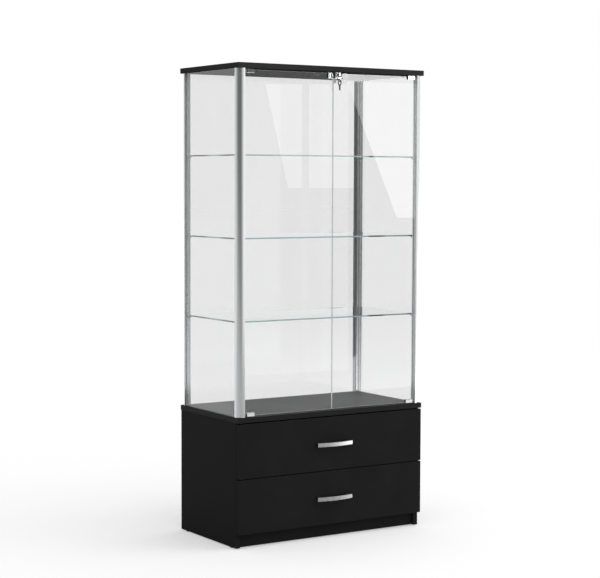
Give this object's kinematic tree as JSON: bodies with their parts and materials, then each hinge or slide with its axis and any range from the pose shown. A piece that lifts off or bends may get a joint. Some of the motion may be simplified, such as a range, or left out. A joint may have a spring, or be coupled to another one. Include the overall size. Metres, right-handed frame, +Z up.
{
  "type": "glass display cabinet",
  "caption": "Upright glass display cabinet: glazed case with hinged lockable doors and glass shelves on a black drawer base.",
  "frame": {"origin": "on the floor under the middle of the cabinet's box, doors and drawers closed", "axes": "+X to the cabinet's right as seen from the front, +Y from the doors to the back, +Z up"},
  "size_m": [0.8, 0.448, 1.71],
  "materials": {
    "black_board": "black melamine faced board, fine satin texture",
    "back_hardboard": "thin hardboard painted black",
    "drawer_board": "light grey melamine faced board",
    "beech_dowel": "turned beech",
    "clear_glass": "clear float glass, ground edges",
    "anodised_aluminium": "satin silver anodised extrusion",
    "clear_gasket": "translucent soft extrusion",
    "black_plastic": "moulded, fine texture",
    "white_plastic": "turned nylon",
    "clear_plastic": "clear moulded polycarbonate",
    "zinc_fitting": "bright zinc plated",
    "satin_chrome": "satin plated",
    "bright_chrome": "bright plated",
    "lock_brass": "turned",
    "nickel_key": "nickel plated",
    "painted_rail": "white powder coat"
  },
  "bodies": {
    "cabinet": {"back_glass": "clear_glass", "base_back": "back_hardboard", "base_deck": "black_board", "base_floor": "black_board", "base_side_left": "black_board", "base_side_right": "black_board", "cabinet_rails": "painted_rail", "cam_fittings": "zinc_fitting", "carcass_dowels": "beech_dowel", "door_seals": "clear_gasket", "door_stops": "black_plastic", "floor_glides": "black_plastic", "glazing_gaskets": "clear_gasket", "hinge_bushes": "black_plastic", "plinth_board": "black_board", "post_front_left": "anodised_aluminium", "post_front_right": "anodised_aluminium", "post_rear_left": "anodised_aluminium", "post_rear_right": "anodised_aluminium", "post_screws": "zinc_fitting", "shelf_lower": "clear_glass", "shelf_middle": "clear_glass", "shelf_supports": "clear_plastic", "shelf_upper": "clear_glass", "side_glass_left": "clear_glass", "side_glass_right": "clear_glass", "top_panel": "black_board"},
    "left_door": {"left_door_glass": "clear_glass", "left_door_hinges": "satin_chrome", "left_hinge_screws": "zinc_fitting", "lock_keeper": "bright_chrome"},
    "right_door": {"lock_back_plate": "bright_chrome", "lock_body": "bright_chrome", "right_door_glass": "clear_glass", "right_door_hinges": "satin_chrome", "right_hinge_screws": "zinc_fitting"},
    "lock_barrel": {"cam_screw": "zinc_fitting", "lock_cam": "zinc_fitting", "lock_key": "nickel_key", "lock_plug": "lock_brass"},
    "key_bunch": {"key_ring": "nickel_key", "spare_key": "nickel_key"},
    "upper_drawer": {"upper_drawer_back": "drawer_board", "upper_drawer_bottom": "back_hardboard", "upper_drawer_front": "black_board", "upper_drawer_rails": "painted_rail", "upper_drawer_sides": "drawer_board", "upper_handle": "satin_chrome", "upper_handle_screws": "zinc_fitting"},
    "lower_drawer": {"lower_drawer_back": "drawer_board", "lower_drawer_bottom": "back_hardboard", "lower_drawer_front": "black_board", "lower_drawer_rails": "painted_rail", "lower_drawer_sides": "drawer_board", "lower_handle": "satin_chrome", "lower_handle_screws": "zinc_fitting"},
    "upper_front_rollers_body": {"upper_front_rollers": "white_plastic"},
    "upper_rear_rollers_body": {"upper_rear_rollers": "white_plastic"},
    "lower_front_rollers_body": {"lower_front_rollers": "white_plastic"},
    "lower_rear_rollers_body": {"lower_rear_rollers": "white_plastic"}
  },
  "joints": [
    {"name": "left_door_swing", "type": "hinge", "parent": "cabinet", "child": "left_door", "pos_m": [-0.356, -0.1855, 1.08], "axis": [0, 0, -1], "range_deg": [0, 110]},
    {"name": "right_door_swing", "type": "hinge", "parent": "cabinet", "child": "right_door", "pos_m": [0.356, -0.1855, 1.08], "axis": [0, 0, 1], "range_deg": [0, 110]},
    {"name": "lock_turn", "type": "hinge", "parent": "right_door", "child": "lock_barrel", "pos_m": [0.0111, -0.2, 1.68065], "axis": [0, 1, 0], "range_deg": [0, 90]},
    {"name": "key_bunch_swing", "type": "hinge", "parent": "lock_barrel", "child": "key_bunch", "pos_m": [0.0111, -0.213, 1.6724], "axis": [0, 1, 0], "range_deg": [-90, 0]},
    {"name": "upper_drawer_slide", "type": "slide", "parent": "cabinet", "child": "upper_drawer", "axis": [0, -1, 0], "range_m": [0, 0.26]},
    {"name": "lower_drawer_slide", "type": "slide", "parent": "cabinet", "child": "lower_drawer", "axis": [0, -1, 0], "range_m": [0, 0.26]},
    {"name": "upper_front_roll", "type": "hinge", "parent": "cabinet", "child": "upper_front_rollers_body", "pos_m": [0, -0.164, 0.2835], "axis": [1, 0, 0], "range_deg": [0, 1863]},
    {"name": "upper_rear_roll", "type": "hinge", "parent": "upper_drawer", "child": "upper_rear_rollers_body", "pos_m": [0, 0.156, 0.2803], "axis": [1, 0, 0], "range_deg": [0, 1656]},
    {"name": "lower_front_roll", "type": "hinge", "parent": "cabinet", "child": "lower_front_rollers_body", "pos_m": [0, -0.164, 0.0855], "axis": [1, 0, 0], "range_deg": [0, 1863]},
    {"name": "lower_rear_roll", "type": "hinge", "parent": "lower_drawer", "child": "lower_rear_rollers_body", "pos_m": [0, 0.156, 0.0823], "axis": [1, 0, 0], "range_deg": [0, 1656]}
  ],
  "couplings": [
    {"joint": "key_bunch_swing", "follows": "lock_turn", "ratio": -1},
    {"joint": "upper_front_roll", "follows": "upper_drawer_slide", "rad_per_m": 125},
    {"joint": "upper_rear_roll", "follows": "upper_drawer_slide", "rad_per_m": 111.11},
    {"joint": "lower_front_roll", "follows": "lower_drawer_slide", "rad_per_m": 125},
    {"joint": "lower_rear_roll", "follows": "lower_drawer_slide", "rad_per_m": 111.11}
  ]
}
